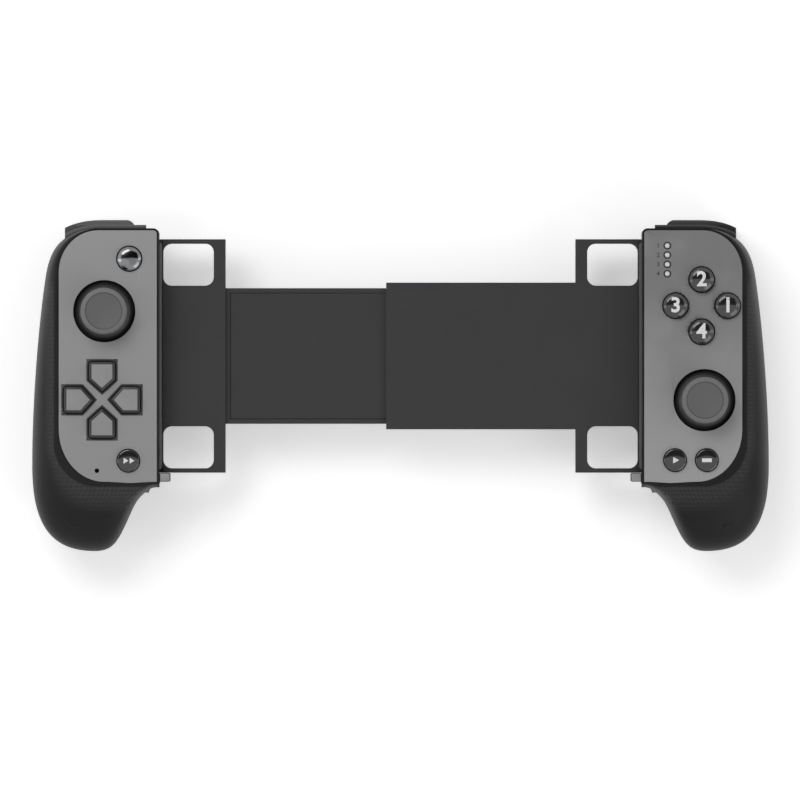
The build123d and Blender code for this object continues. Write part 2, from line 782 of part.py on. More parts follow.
    # Shell screws, driven from the back into the front shell's bosses
    with BuildPart() as shell_screws:
        with BuildSketch(Plane.XY.offset(back_z + slip)):
            with Locations(*bosses):
                Circle(screw_head_r)
        extrude(amount=screw_head_t)
        with BuildSketch(Plane.XY.offset(back_z + slip + screw_head_t)):
            with Locations(*bosses):
                Circle(screw_r)
        extrude(amount=screw_top_z - back_z - slip - screw_head_t)
    shell_screws.part.label = f"{hand}_shell_screws"
    export_step(shell_screws.part, f"parts/{hand}_shell_screws.step")

# Direction keys: bevelled top, flange under the deck, stem over the mat
for name, turn in key_turns.items():
    with BuildPart() as direction_key:
        with BuildSketch(Plane.XY.offset(flange_z + flange_t)):
            with Locations((dpad_x, dpad_y)):
                add(key_outline(-key_fit), rotation=turn)
        bevel_z = face_z + dpad_rise - dpad_bevel * dpad_bevel_share
        extrude(amount=bevel_z - flange_z - flange_t)
        for z, inset in ((bevel_z, 0), (face_z + dpad_rise, dpad_bevel)):
            with BuildSketch(Plane.XY.offset(z)):
                with Locations((dpad_x, dpad_y)):
                    add(key_outline(-key_fit - inset), rotation=turn)
        loft()
        with BuildSketch(Plane.XY.offset(flange_z)):
            with Locations((dpad_x, dpad_y)):
                add(key_outline(flange_lap), rotation=turn)
        extrude(amount=flange_t)
        reach = (dpad_reach + dpad_tip) / 2
        with BuildSketch(Plane.XY.offset(stem_z)):
            with Locations((dpad_x, dpad_y)):
                with PolarLocations(reach, 1, start_angle=turn + 90):
                    Circle(stem_r)
        extrude(amount=flange_z - stem_z)
    direction_key.part.label = f"dpad_{name}"
    export_step(direction_key.part, f"parts/dpad_{name}.step")


def round_key(x, y, hole_r, rise, crown):
    """A round key: crowned or flat cap, flange under the deck and a stem over the mat."""
    cap_radius = hole_r - key_fit
    shoulder_z = face_z + rise
    with BuildPart() as key:
        with BuildSketch(Plane.XZ) as half:
            with BuildLine():
                Polyline(
                    (0, stem_z),
                    (stem_r, stem_z),
                    (stem_r, flange_z),
                    (cap_radius + flange_lap, flange_z),
                    (cap_radius + flange_lap, flange_z + flange_t),
                    (cap_radius, flange_z + flange_t),
                    (cap_radius, shoulder_z - crown / 2),
                )
                Bezier(
                    (cap_radius, shoulder_z - crown / 2),
                    (cap_radius, shoulder_z),
                    (cap_radius * crown_share, shoulder_z + crown),
                    (0, shoulder_z + crown),
                )
                Line((0, shoulder_z + crown), (0, stem_z))
            make_face()
        revolve(half.sketch.moved(Location((x, y, 0))), Axis((x, y, 0), (0, 0, 1)))
    return key


# Face keys, numbered from the right round through the top
for number in range(4):
    turn = math.radians(90 * number)
    key_x = face_keys_x + face_keys_r * math.cos(turn)
    key_y = face_keys_y + face_keys_r * math.sin(turn)
    face_key = round_key(key_x, key_y, face_key_hole_r, face_key_rise, face_key_crown)
    face_key.part.label = f"face_button_{number + 1}"
    export_step(face_key.part, f"parts/face_button_{number + 1}.step")

small_keys = {
    "home_button": (home_x, home_y, home_hole_r, small_rise, face_key_crown),
    "turbo_button": (turbo_x, turbo_y, small_hole_r, small_rise, face_key_crown / 3),
    "start_button": (start_x, menu_y, small_hole_r, small_rise, face_key_crown / 3),
    "select_button": (select_x, menu_y, small_hole_r, small_rise, face_key_crown / 3),
}
for name, sizes in small_keys.items():
    small_key = round_key(*sizes)
    small_key.part.label = name
    export_step(small_key.part, f"parts/{name}.step")

# Reset plunger, deep in its pinhole
with BuildPart() as reset_button:
    with BuildSketch(Plane.XY.offset(board_top + seat_gap)):
        with Locations((reset_x, reset_y)):
            Circle(stem_r)
    extrude(amount=deck_z - reset_drop - board_top - seat_gap)
    with BuildSketch(Plane.XY.offset(deck_z - reset_drop)):
        with Locations((reset_x, reset_y)):
            Circle(reset_hole_r)
    extrude(amount=reset_drop - seat_gap)
reset_button.part.label = "reset_button"
export_step(reset_button.part, "parts/reset_button.step")


def key_mat(low_x, low_y, high_x, high_y, domes):
    """A rubber mat on the board with a dome under each key."""
    with BuildPart() as mat:
        with BuildSketch(Plane.XY.offset(board_top)):
            with Locations(((low_x + high_x) / 2, (low_y + high_y) / 2)):
                Rectangle(high_x - low_x, high_y - low_y)
        extrude(amount=mat_t)
        for place in domes:
            with Locations((*place, mat_z + dome_h / 2)):
                Cone(dome_r, dome_top_r, dome_h)
    return mat


dpad_stem = (dpad_reach + dpad_tip) / 2
dpad_domes = []
for turn in key_turns.values():
    across = -dpad_stem * math.sin(math.radians(turn))
    along = dpad_stem * math.cos(math.radians(turn))
    dpad_domes.append((dpad_x + across, dpad_y + along))
face_domes = [(x, y) for x, y, radius in round_holes(1) if radius == face_key_hole_r]
menu_domes = [(start_x, menu_y), (select_x, menu_y)]
mats = {
    "dpad_mat": dpad_domes,
    "home_mat": [(home_x, home_y)],
    "turbo_mat": [(turbo_x, turbo_y)],
    "face_button_mat": face_domes,
    "menu_mat": menu_domes,
}
for name, domes in mats.items():
    xs = [x for x, y in domes]
    ys = [y for x, y in domes]
    rim = dome_r + mat_rim
    mat = key_mat(min(xs) - rim, min(ys) - rim, max(xs) + rim, max(ys) + rim, domes)
    mat.part.label = name
    export_step(mat.part, f"parts/{name}.step")

# Player lamps: four light pins on one bar under the deck
with BuildPart() as lamp_guide:
    lamp_span = lamp_pitch * (lamp_count - 1)
    with BuildSketch(Plane.XY.offset(deck_z - 2 * lamp_r)):
        with Locations((lamp_x, lamp_top_y - lamp_span / 2)):
            SlotOverall(lamp_span + 4 * lamp_r, 2 * lamp_r + wall / 4, rotation=90)
    extrude(amount=2 * lamp_r)
    with BuildSketch(Plane.XY.offset(deck_z)):
        with Locations((lamp_x, lamp_top_y - lamp_span / 2)):
            with GridLocations(lamp_pitch, lamp_pitch, 1, lamp_count):
                Circle(lamp_r)
    extrude(amount=face_z - deck_z - slip / 2)
lamp_guide.part.label = "lamp_guide"
export_step(lamp_guide.part, "parts/lamp_guide.step")

# Battery under the left board
with BuildPart() as battery:
    with BuildSketch(Plane.XY.offset(floor_z)):
        with Locations((battery_x, battery_y)):
            RectangleRounded(battery_w, battery_l, wall)
    extrude(amount=battery_t)
battery.part.label = "battery"
export_step(battery.part, "parts/battery.step")

# Charging socket under the right board: steel shell and tongue
with BuildPart() as socket:
    with BuildSketch(socket_mouth):
        RectangleRounded(socket_w, socket_t, socket_r)
    extrude(amount=-socket_l)
    with BuildSketch(socket_mouth):
        inner_r = socket_r - socket_shell_t
        RectangleRounded(socket_w - 2 * socket_shell_t, socket_t - 2 * socket_shell_t, inner_r)
    extrude(amount=-socket_l * socket_depth_share, mode=Mode.SUBTRACT)
    tongue_u, tongue_w, setback = socket_tongue_shares
    with BuildSketch(socket_mouth.offset(-socket_l * setback)):
        Rectangle(socket_w * tongue_u, socket_t * tongue_w)
    extrude(amount=-socket_l * socket_depth_share)
socket.part.label = "charging_socket"
export_step(socket.part, "parts/charging_socket.step")


def end_frame(side):
    """Plan of the bridge's flat end: it runs into the handle and has two corner windows."""
    with BuildSketch() as frame:
        with Locations((side * (rib_x + rib_t - bridge_reach / 2 - rib_t), bridge_y)):
            Rectangle(bridge_reach + 2 * rib_t, bridge_h)
        for way in (-1, 1):
            middle_y = bridge_y + way * (bridge_h / 2 - window_rim - window_h / 2)
            with Locations((side * (window_x - window_w / 2), middle_y)):
                RectangleRounded(window_w, window_h, window_r, mode=Mode.SUBTRACT)
    return frame.sketch


def end_rebate(side):
    """Plan of the low step where the flat end enters the handle, which keeps the phone's bed clear."""
    step_x = wall_x - pad_t - slip / 2
    with BuildSketch() as step:
        with Locations((side * (step_x + rib_x) / 2, bridge_y)):
            Rectangle(rib_x - step_x, bridge_h)
    return step.sketch


rib_mid = rib_x + rib_t / 2
frame_in_x = rib_x + rib_t - bridge_reach - 2 * rib_t
frame_edge_x = frame_in_x + window_rim
tongue_z = bridge_mid - tongue_t / 2
tongue_h = sleeve_h - 2 * sleeve_wall - 2 * slip
lid_z = tongue_z + tongue_t - tongue_lid_t
channel_z = tongue_z + sleeve_wall
spring_z = (channel_z + lid_z) / 2
sleeve_screw_x = (frame_in_x + window_x - window_w) / 2
sleeve_screw_out = sleeve_h / 2 + sleeve_screw_in
sleeve_screw_places = [(sleeve_screw_x, bridge_y + way * sleeve_screw_out) for way in (-1, 1)]

# Slider frame: the left end frame and the tongue with its three channels
with BuildPart() as slider_frame:
    with BuildSketch(Plane.XY.offset(bridge_z)):
        add(end_frame(-1))
    extrude(amount=bridge_t)
    with BuildSketch(Plane.XY.offset(bridge_top - end_step)):
        add(end_rebate(-1))
    extrude(amount=end_step, mode=Mode.SUBTRACT)
    with BuildSketch(Plane.XY.offset(bridge_z - rib_lap)):
        with Locations((-rib_mid, bridge_y)):
            Rectangle(rib_t, bridge_h + 2 * rib_lap)
    extrude(amount=bridge_t + 2 * rib_lap)
    with BuildSketch(Plane.XY.offset(tongue_z)):
        with Locations(((tongue_x - frame_in_x) / 2, bridge_y)):
            Rectangle(tongue_x + frame_in_x, tongue_h)
    extrude(amount=tongue_t)
    fillet(slider_frame.edges().filter_by(Axis.Z).group_by(Axis.X)[-1], tongue_round)
    with BuildSketch(Plane.XY.offset(lid_z)):
        with Locations(((tongue_x - frame_in_x) / 2, bridge_y)):
            Rectangle(tongue_x + frame_in_x - 2 * sleeve_wall, tongue_h - 2 * sleeve_wall)
    extrude(amount=tongue_lid_t + cut, mode=Mode.SUBTRACT)
    with BuildSketch(Plane.XY.offset(channel_z)):
        for way in (-1, 1):
            with Locations(((tongue_x + spring_near_x) / 2 + cut, bridge_y + way * channel_y)):
                Rectangle(tongue_x - spring_near_x + 2 * cut, channel_w)
        with Locations(((tongue_x - rib_x) / 2, bridge_y)):
            Rectangle(tongue_x + rib_x + 4 * rib_t, cable_w + 2 * seat_gap)
    extrude(amount=lid_z - channel_z, mode=Mode.SUBTRACT)
slider_frame.part.label = "slider_frame"
export_step(slider_frame.part, "parts/slider_frame.step")

# Slider lid over the tongue's channels
with BuildPart() as slider_lid:
    with BuildSketch(Plane.XY.offset(lid_z)):
        with Locations(((tongue_x - frame_in_x) / 2, bridge_y)):
            Rectangle(tongue_x + frame_in_x - 2 * sleeve_wall - slip, tongue_h - 2 * sleeve_wall - slip)
    extrude(amount=tongue_lid_t)
slider_lid.part.label = "slider_lid"
export_step(slider_lid.part, "parts/slider_lid.step")


def sleeve_half(base_z, bay_z, bay_h):
    """One half of the sleeve: end frame and tube wall, hollowed for the tongue and the cable."""
    bay_end_x = rib_x - sleeve_wall
    with BuildPart() as half:
        with BuildSketch(Plane.XY.offset(base_z)):
            add(end_frame(1))
            with Locations(((sleeve_x + frame_edge_x) / 2, bridge_y)):
                Rectangle(frame_edge_x - sleeve_x, sleeve_h)
        extrude(amount=bridge_t / 2)
        with BuildSketch(Plane.XY.offset(bay_z)):
            with Locations(((sleeve_x - cut + bay_end_x) / 2, bridge_y)):
                Rectangle(bay_end_x - sleeve_x + cut, sleeve_h - 2 * sleeve_wall)
            with Locations((rib_x, bridge_y)):
                Rectangle(6 * rib_t, cable_w + 2 * seat_gap)
        extrude(amount=bay_h, mode=Mode.SUBTRACT)
    return half


# Sleeve back half, with the rib and the pegs that hold the return springs
sleeve_bay_z = tongue_z - slip
with BuildPart() as sleeve_back:
    add(sleeve_half(bridge_z, sleeve_bay_z, tongue_t))
    with BuildSketch(Plane.XY.offset(bridge_z - rib_lap)):
        with Locations((rib_mid, bridge_y)):
            Rectangle(rib_t, bridge_h + 2 * rib_lap)
    extrude(amount=sleeve_bay_z - bridge_z + rib_lap)
    with BuildSketch(Plane.YZ.offset(rib_x - sleeve_wall)):
        with Locations((bridge_y - channel_y, spring_z), (bridge_y + channel_y, spring_z)):
            Circle(peg_r)
    extrude(amount=-peg_l)
    with BuildSketch(Plane.XY.offset(bridge_z)):
        with Locations(*sleeve_screw_places):
            Circle(sleeve_screw_r)
    extrude(amount=bridge_t, mode=Mode.SUBTRACT)
sleeve_back.part.label = "sleeve_back"
export_step(sleeve_back.part, "parts/sleeve_back.step")

# Sleeve front half, with the face that a phone lies against
with BuildPart() as sleeve_front:
    add(sleeve_half(bridge_mid, bridge_mid, tongue_t / 2 + slip))
    with BuildSketch(Plane.XY.offset(bridge_top - end_step)):
        add(end_rebate(1))
    extrude(amount=end_step, mode=Mode.SUBTRACT)
    with BuildSketch(Plane.XY.offset(bridge_mid)):
        with Locations(*sleeve_screw_places):
            Circle(sleeve_screw_r)
    extrude(amount=sleeve_screw_l - bridge_t / 2 + slip, mode=Mode.SUBTRACT)
sleeve_front.part.label = "sleeve_front"
export_step(sleeve_front.part, "parts/sleeve_front.step")

# Screws that close the sleeve, from the back
with BuildPart() as sleeve_screws:
    with BuildSketch(Plane.XY.offset(bridge_z)):
        with Locations(*sleeve_screw_places):
            Circle(sleeve_screw_r)
    extrude(amount=sleeve_screw_l)
sleeve_screws.part.label = "sleeve_screws"
export_step(sleeve_screws.part, "parts/sleeve_screws.step")

# Two long return springs in the side channels
with BuildPart() as return_springs:
    for way in (-1, 1):
        with BuildSketch(Plane.YZ.offset(spring_near_x)):
            with Locations((bridge_y + way * channel_y, spring_z)):
                Circle(spring_coil_r)
                Circle(spring_bore_r, mode=Mode.SUBTRACT)
        extrude(amount=spring_far_x - spring_near_x)
return_springs.part.label = "return_springs"
export_step(return_springs.part, "parts/return_springs.step")

# Flat cable between the two boards
with BuildPart() as link_cable:
    with BuildSketch(Plane.XY.offset(board_top)):
        with Locations((0, bridge_y)):
            Rectangle(2 * cable_end_x, cable_w)
    extrude(amount=cable_t)
link_cable.part.label = "link_cable"
export_step(link_cable.part, "parts/link_cable.step")
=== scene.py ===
import bpy
import json
import math

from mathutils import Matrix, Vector


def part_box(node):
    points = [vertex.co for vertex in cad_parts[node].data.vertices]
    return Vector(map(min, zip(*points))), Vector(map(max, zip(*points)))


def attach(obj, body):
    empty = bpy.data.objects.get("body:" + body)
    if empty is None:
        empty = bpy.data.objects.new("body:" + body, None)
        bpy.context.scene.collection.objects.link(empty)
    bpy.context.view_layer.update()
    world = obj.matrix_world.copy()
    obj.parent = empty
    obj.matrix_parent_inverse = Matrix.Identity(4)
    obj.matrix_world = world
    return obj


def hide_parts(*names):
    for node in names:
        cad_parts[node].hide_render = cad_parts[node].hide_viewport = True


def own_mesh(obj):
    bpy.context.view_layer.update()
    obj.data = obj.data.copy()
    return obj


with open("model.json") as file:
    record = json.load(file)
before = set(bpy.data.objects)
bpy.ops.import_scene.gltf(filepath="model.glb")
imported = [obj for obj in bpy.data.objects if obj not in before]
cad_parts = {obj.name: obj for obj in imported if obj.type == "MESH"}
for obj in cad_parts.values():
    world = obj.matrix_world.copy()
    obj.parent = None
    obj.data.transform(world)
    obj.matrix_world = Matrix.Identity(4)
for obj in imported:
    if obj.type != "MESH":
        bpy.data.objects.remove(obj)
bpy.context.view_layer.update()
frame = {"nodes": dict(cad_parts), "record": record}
MM = 0.001

# Places on the controller, in metres, as the model has them
FACE_Z = 0.030
GIRTH_Z = 0.017
STICKS = {"left": (-0.0886, 0.0222), "right": (0.0909, -0.0044)}
LAMP_X = 0.0798
LAMP_TOP_Y = 0.0418
LAMP_PITCH = 0.0028
SCREWS = ((0.1020, 0.0080), (0.1032, -0.0130), (0.0876, -0.0376), (0.0976, -0.0396))
SCREW_FACE_Z = 0.00675
HEEL_OUT_X = 0.0835
HEEL_TOP_Y = -0.0264
HEEL_RIM = 0.0011
HEEL_FADE = 0.0015

# Places for the finishes, in millimetres
PANEL_TOP_Y = 38.0
PANEL_LOW_Y = -28.0
PANEL_END_X = 90.6
PANEL_END_Y = -17.2
PANEL_END_R = 12.2
DPAD_X = -89.25
DPAD_Y = -4.3
DPAD_HALF_W = 4.2
DPAD_REACH = 11.7
DPAD_TIP = 2.1
DPAD_SLOPE = 0.905
# Width of the black painted shade round the direction keys
DPAD_SHADE_WIDTH = 0.45
DPAD_FACE_Z = 31.40
KEY_FOOT_Z = 29.0
KEY_DOME_Z = 31.6
CAP_EDGE_Z = 34.7
CAP_DISH_R = 5.5
LAMP_RING_R = 1.15

# Raised dots of the grips, in millimetres: a band that widens downwards, and an oval behind
BAND_W = 4.2
BAND_SWELL = 5.5
OVAL_X = 94.5
OVAL_Y = -25.0
OVAL_HALF_W = 12.5
OVAL_HALF_H = 20.0
DOT_PITCH = 0.78

# Scale and swing of the plastic's grain, then heights and gaps in metres
GRAIN_SCALE = 5200.0
GRAIN_SWING = 0.10
FINE_GRAIN = 0.00001
DOT_RISE = 0.00006
INK_COAT = 0.00003
MERGE_GAP = 0.000002


# Shader building

class Amount:
    """A value on its way between shader nodes. The usual operators add Math nodes."""

    def __init__(self, shading, socket):
        self.shading = shading
        self.socket = socket

    def __add__(self, other):
        return self.shading.math("ADD", self, other)

    def __sub__(self, other):
        return self.shading.math("SUBTRACT", self, other)

    def __mul__(self, other):
        return self.shading.math("MULTIPLY", self, other)

    def __truediv__(self, other):
        return self.shading.math("DIVIDE", self, other)

    def __radd__(self, other):
        return self.shading.math("ADD", other, self)

    def __rsub__(self, other):
        return self.shading.math("SUBTRACT", other, self)

    def __rmul__(self, other):
        return self.shading.math("MULTIPLY", other, self)

    def __rtruediv__(self, other):
        return self.shading.math("DIVIDE", other, self)

    def __abs__(self):
        return self.shading.math("ABSOLUTE", self)

    def sin(self):
        return self.shading.math("SINE", self)

    def root(self):
        return self.shading.math("SQRT", self)

    def at_least(self, other):
        return self.shading.math("MAXIMUM", self, other)

    def at_most(self, other):
        return self.shading.math("MINIMUM", self, other)

    def rise(self, low, high):
        """0 below low, 1 above high and a soft step between; falls where high is below low."""
        if high < low:
            return 1 - self.rise(high, low)
        ramp = self.shading.node(
            "ShaderNodeMapRange",
            {"interpolation_type": "SMOOTHSTEP"},
            {"Value": self, "From Min": low, "From Max": high},
        )
        return Amount(self.shading, ramp.outputs["Result"])


class Shading:
    """The nodes of one material, or of the world."""

    def __init__(self, tree):
        self.tree = tree

    def put(self, socket, value):
        """Links a value to a socket, or stores it there where it is a plain number or colour."""
        if isinstance(value, Amount):
            value = value.socket
        if isinstance(value, bpy.types.NodeSocket):
            self.tree.links.new(value, socket)
        else:
            socket.default_value = value

    def node(self, kind, settings, values):
        made = self.tree.nodes.new(kind)
        for key, value in settings.items():
            setattr(made, key, value)
        for key, value in values.items():
            self.put(made.inputs[key], value)
        return made

    def math(self, operation, *values):
        made = self.node("ShaderNodeMath", {"operation": operation}, dict(enumerate(values)))
        return Amount(self, made.outputs["Value"])

    def seen(self):
        """1 for rays that show something to the camera, 0 for those that only light."""
        rays = self.node("ShaderNodeLightPath", {}, {})
        seen = Amount(self, rays.outputs["Is Camera Ray"])
        seen = seen.at_least(Amount(self, rays.outputs["Is Glossy Ray"]))
        return seen.at_least(Amount(self, rays.outputs["Is Transmission Ray"]))


class Finish(Shading):
    """One material of the controller, with places on the object in millimetres."""

    def __init__(self, name):
        self.material = bpy.data.materials.new(name)
        self.material.use_nodes = True
        super().__init__(self.material.node_tree)
        self.shader = self.tree.nodes["Principled BSDF"]
        self.place = self.node("ShaderNodeTexCoord", {}, {}).outputs["Object"]
        split = self.node("ShaderNodeSeparateXYZ", {}, {"Vector": self.place})
        self.x, self.y, self.z = (Amount(self, split.outputs[axis]) / MM for axis in "XYZ")

    def noise(self, scale, detail=2.0):
        made = self.node(
            "ShaderNodeTexNoise", {}, {"Vector": self.place, "Scale": scale, "Detail": detail}
        )
        return Amount(self, made.outputs["Fac"])

    def stretched_noise(self, scale, stretch):
        mapped = self.node("ShaderNodeMapping", {}, {"Vector": self.place, "Scale": stretch})
        made = self.node(
            "ShaderNodeTexNoise", {}, {"Vector": mapped.outputs["Vector"], "Scale": scale}
        )
        return Amount(self, made.outputs["Fac"])

    def blend(self, share, first, second):
        """first where share is 0, second where it is 1."""
        made = self.node(
            "ShaderNodeMix",
            {"data_type": "RGBA"},
            {"Factor": share, 6: colour(first), 7: colour(second)},
        )
        return made.outputs[2]

    def set(self, name, value):
        self.put(self.shader.inputs[name], value)

    def grained(self, roughness, depth):
        """Fine spark-eroded grain: it varies the roughness and stands up by depth, in metres."""
        grain = self.noise(GRAIN_SCALE, 1.0)
        self.set("Roughness", roughness + (grain - 0.5) * GRAIN_SWING)
        self.relief(grain, depth)

    def relief(self, height, depth):
        """Bump of a height from 0 to 1, depth in metres."""
        made = self.node(
            "ShaderNodeBump", {}, {"Height": height, "Distance": depth, "Strength": 1.0}
        )
        self.set("Normal", made.outputs["Normal"])


def colour(value):
    """A link that carries a colour as it is, and three numbers with their alpha."""
    return value if isinstance(value, bpy.types.NodeSocket) else (*value, 1.0)


def satin_plastic(name, tone, roughness, grain_depth=FINE_GRAIN, shine=0.5):
    """Moulded plastic: even colour with a little mottling and a fine spark-eroded grain."""
    finish = Finish(name)
    mottle = finish.noise(90.0).rise(0.3, 0.7)
    lighter = tuple(part * 1.08 for part in tone)
    finish.set("Base Color", finish.blend(mottle, tone, lighter))
    finish.grained(roughness, grain_depth)
    finish.set("Specular IOR Level", shine)
    return finish


def panel_paint(name, top_shading_tone, low_shading_tone, dark_rings_and_shade):
    """Satin grey paint of a face panel, its tone running from top to low as painted light and
    shade, black round the openings that the last argument measures.
    """
    finish = Finish(name)
    mottle = finish.noise(90.0).rise(0.3, 0.7)
    # Painted light and shade: the tone runs from the top tone to the low tone down the panel
    tone = finish.blend(finish.y.rise(PANEL_TOP_Y, PANEL_LOW_Y), top_shading_tone, low_shading_tone)
    lighter = finish.blend(mottle, tone, tuple(part * 1.05 for part in low_shading_tone))
    tone = finish.blend(mottle * 0.2, tone, lighter)
    # Black where the last argument gives 1: the lamps' dark rings on the right panel, painted
    # shade round the direction keys on the left
    finish.set("Base Color", finish.blend(dark_rings_and_shade(finish), tone, (0.016, 0.016, 0.017)))
    finish.grained(0.44, FINE_GRAIN)
    return finish


def direction_key_surround(finish):
    """1 in the black margin round the four direction keys, which point at their shared middle:
    painted shade, standing in for the shadowed gap and walls round the keys.
    """
    across = abs(finish.x - DPAD_X)
    along = abs(finish.y - DPAD_Y)
    far = across.at_least(along)
    near = across.at_most(along)
    outside = (near - DPAD_HALF_W).at_least(far - DPAD_REACH)
    outside = outside.at_least((near * DPAD_SLOPE + DPAD_TIP - far) / math.hypot(1, DPAD_SLOPE))
    return outside.rise(DPAD_SHADE_WIDTH + 0.06, DPAD_SHADE_WIDTH)


def lamp_rings(finish):
    """1 on the dark rings round the four lamps."""
    across = finish.x - LAMP_X / MM
    nearest = None
    for place in range(4):
        along = finish.y - (LAMP_TOP_Y - place * LAMP_PITCH) / MM
        away = (across * across + along * along).root()
        nearest = away if nearest is None else nearest.at_most(away)
    return nearest.rise(LAMP_RING_R + 0.05, LAMP_RING_R)


def dotted_front(finish):
    """1 on the band along the panel's edge, which widens round its lower end."""
    across = abs(finish.x)
    out_x = (across - PANEL_END_X).at_least(0.0)
    out_y = (PANEL_END_Y - finish.y).at_least(0.0)
    off_panel = (out_x * out_x + out_y * out_y).root() - PANEL_END_R
    wide = finish.y.rise(-22.0, -38.0) * BAND_SWELL + BAND_W
    band = (off_panel / wide).rise(1.0, 0.35) * off_panel.rise(0.7, 1.1)
    band = band * finish.y.rise(33.0, 27.0) * finish.z.rise(21.0, 25.5)
    return band * across.rise(75.5, 78.5).at_least(finish.y.rise(-27.0, -25.0))


def dotted_back(finish):
    """1 on the oval behind the grip, where the fingers hold it."""
    oval_x = (abs(finish.x) - OVAL_X) / OVAL_HALF_W
    oval_y = (finish.y - OVAL_Y) / OVAL_HALF_H
    return (oval_x * oval_x + oval_y * oval_y).rise(1.0, 0.55) * finish.z.rise(12.5, 10.5)


def dot_grid(finish):
    """1 on the dots of a diagonal grid that runs on round the side of the grip."""
    turn = 2 * math.pi / DOT_PITCH
    around = abs(finish.x) - finish.z
    dots = ((around + finish.y) * turn).sin() * ((around - finish.y) * turn).sin()
    return dots.rise(0.05, 0.75)


def grip_plastic(name, tone, dot_sheen_tone):
    """Black shell plastic with the raised dots of the grips, which fade out sideways; the dots'
    lighter tone is painted sheen.
    """
    finish = Finish(name)
    raised = dot_grid(finish) * dotted_front(finish).at_least(dotted_back(finish))
    mottle = finish.noise(60.0).rise(0.3, 0.7)
    plain = finish.blend(mottle, tone, tuple(part * 1.12 for part in tone))
    # The dots are painted lighter than the plastic: painted sheen on the raised dots
    finish.set("Base Color", finish.blend(raised, plain, dot_sheen_tone))
    grain = finish.noise(GRAIN_SCALE, 1.0)
    finish.set("Roughness", 0.46 + (grain - 0.5) * GRAIN_SWING - raised * 0.12)
    finish.relief(grain * 0.08 + raised, DOT_RISE)
    finish.set("Specular IOR Level", 0.16)
    return finish


def stop_block_plastic():
    """Black block with its top in the panel's grey, as the panel's foot looks from the front."""
    finish = Finish("stop_block_plastic")
    top = finish.z.rise(FACE_Z / MM - 0.12, FACE_Z / MM - 0.04)
    mottle = finish.noise(110.0).rise(0.3, 0.7)
    face = finish.blend(mottle, (0.27, 0.27, 0.273), (0.30, 0.30, 0.303))
    finish.set("Base Color", finish.blend(top, (0.014, 0.014, 0.0145), face))
    finish.grained(0.44, FINE_GRAIN)
    return finish


def direction_key_plastic():
    """Grey top face; bevel and sides in black, painted shade on the key's walls."""
    finish = Finish("direction_key_plastic")
    top = finish.z.rise(DPAD_FACE_Z, DPAD_FACE_Z + 0.07)
    mottle = finish.noise(110.0).rise(0.3, 0.7)
    face = finish.blend(mottle, (0.275, 0.275, 0.28), (0.30, 0.30, 0.305))
    # Black below the top face: painted shade on the bevel and walls
    finish.set("Base Color", finish.blend(top, (0.012, 0.012, 0.013), face))
    finish.grained(0.40, FINE_GRAIN)
    return finish


def thumbstick_rubber(hand):
    """Grey dished cap with a thin dark circle of painted shade round the dish's edge, black ball
    skirt.
    """
    finish = Finish(f"{hand}_thumbstick_rubber")
    stick_x, stick_y = STICKS[hand]
    dx = finish.x - stick_x / MM
    dy = finish.y - stick_y / MM
    radius = (dx * dx + dy * dy).root()
    cap = finish.z.rise(CAP_EDGE_Z, CAP_EDGE_Z + 0.3)
    dish = radius.rise(CAP_DISH_R, CAP_DISH_R - 0.25)
    # A thin dark circle at the dish's edge: painted shade
    rim_shade_in = radius.rise(CAP_DISH_R - 0.30, CAP_DISH_R - 0.10)
    rim_shade = rim_shade_in * radius.rise(CAP_DISH_R + 0.15, CAP_DISH_R)
    tone = finish.blend(dish, (0.165, 0.165, 0.168), (0.118, 0.118, 0.121))
    tone = finish.blend(rim_shade, tone, (0.05, 0.05, 0.052))
    finish.set("Base Color", finish.blend(cap, (0.016, 0.016, 0.017), tone))
    grain = finish.noise(6000.0, 1.0)
    finish.set("Roughness", 0.42 + cap * 0.22 + (grain - 0.5) * 0.08)
    finish.relief(grain * cap, 0.00002)
    return finish


def gloss_key_plastic():
    """Black gloss of the round keys, darker at the foot and lighter on the dome as painted shade
    and light, with the faint orange peel of a lacquered dome.
    """
    finish = Finish("gloss_key_plastic")
    peel = finish.noise(700.0, 0.0)
    # Painted shade and light: the tone runs from darker at the key's foot to lighter on its dome
    height = finish.z.rise(KEY_FOOT_Z, KEY_DOME_Z)
    tone = finish.blend(height, (0.008, 0.008, 0.009), (0.02, 0.02, 0.021))
    finish.set("Base Color", tone)
    finish.set("Roughness", 0.10 + (peel - 0.5) * 0.06)
    finish.relief(peel, 0.000008)
    finish.set("Coat Weight", 0.6)
    finish.set("Coat Roughness", 0.05)
    return finish


def plated_key():
    """Smoky bright plating of the home key."""
    finish = Finish("home_key_plating")
    peel = finish.noise(500.0, 0.0)
    tone = finish.blend(peel.rise(0.3, 0.7), (0.17, 0.172, 0.178), (0.24, 0.243, 0.25))
    finish.set("Base Color", tone)
    finish.set("Metallic", 1.0)
    finish.set("Roughness", 0.12 + (peel - 0.5) * 0.05)
    finish.relief(peel, 0.000012)
    return finish


def turned_steel(name, tone):
    finish = Finish(name)
    streak = finish.stretched_noise(3000.0, (1.0, 0.05, 1.0))
    finish.set("Base Color", finish.blend(streak, tone, tuple(part * 1.2 for part in tone)))
    finish.set("Metallic", 1.0)
    finish.set("Roughness", 0.28 + (streak - 0.5) * 0.2)
    return finish


def board_mask():
    """Green solder mask with copper runs under it."""
    finish = Finish("board_mask")
    run = (finish.x * 4.2).sin() * (finish.y * 2.6).sin()
    copper = run.rise(0.1, 0.3)
    finish.set("Base Color", finish.blend(copper, (0.010, 0.085, 0.035), (0.025, 0.15, 0.06)))
    finish.set("Roughness", 0.3)
    finish.relief(copper, 0.00003)
    return finish


